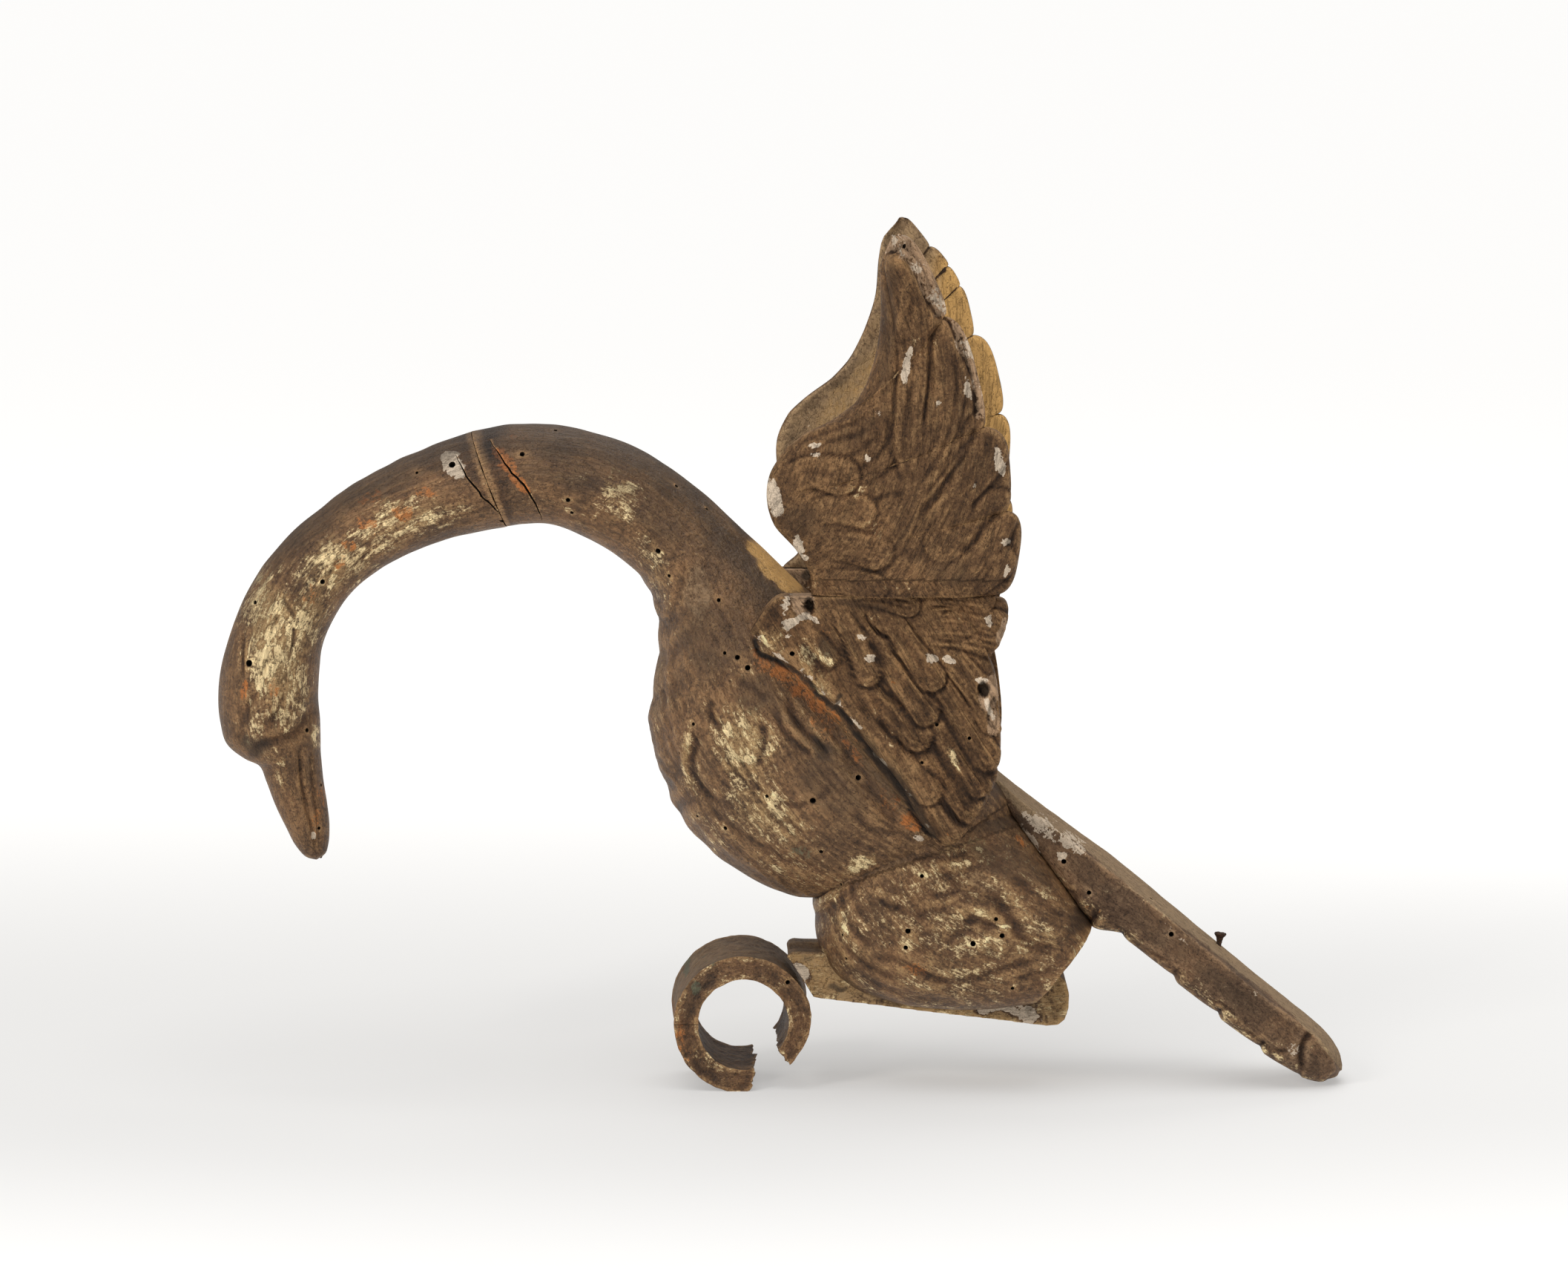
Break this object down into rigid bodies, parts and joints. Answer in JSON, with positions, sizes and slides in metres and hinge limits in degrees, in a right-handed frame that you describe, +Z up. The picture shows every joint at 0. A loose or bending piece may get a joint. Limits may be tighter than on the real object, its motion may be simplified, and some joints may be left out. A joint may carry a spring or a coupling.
{
  "type": "gilded wooden swan",
  "caption": "Carved and gilded wooden swan with an arched neck, raised wings and a broken scroll beneath, a fragment that stands on the scroll and its tail",
  "frame": {"origin": "the middle of the part's outline on the surface it stands on", "axes": "+X from the head to the tail, +Y to the swan's right, +Z up"},
  "size_m": [0.4559, 0.1399, 0.348],
  "materials": {
    "gilt_wood": "worn water gilding over orange bole and gesso on carved softwood, tarnished brown",
    "ochre_wood": "yellow ochre and brown distemper over gesso on wood, dusty and worn",
    "iron": "rusted hand-made iron"
  },
  "bodies": {
    "root": {"body": "gilt_wood", "head_neck": "gilt_wood", "wing_blade_left": "gilt_wood", "wing_blade_right": "gilt_wood", "wing_root_left": "gilt_wood", "wing_root_right": "gilt_wood", "tail": "ochre_wood", "scroll_rail": "gilt_wood", "scroll_curl": "gilt_wood", "tail_nail": "iron", "beak_pin": "iron"}
  },
  "joints": []
}
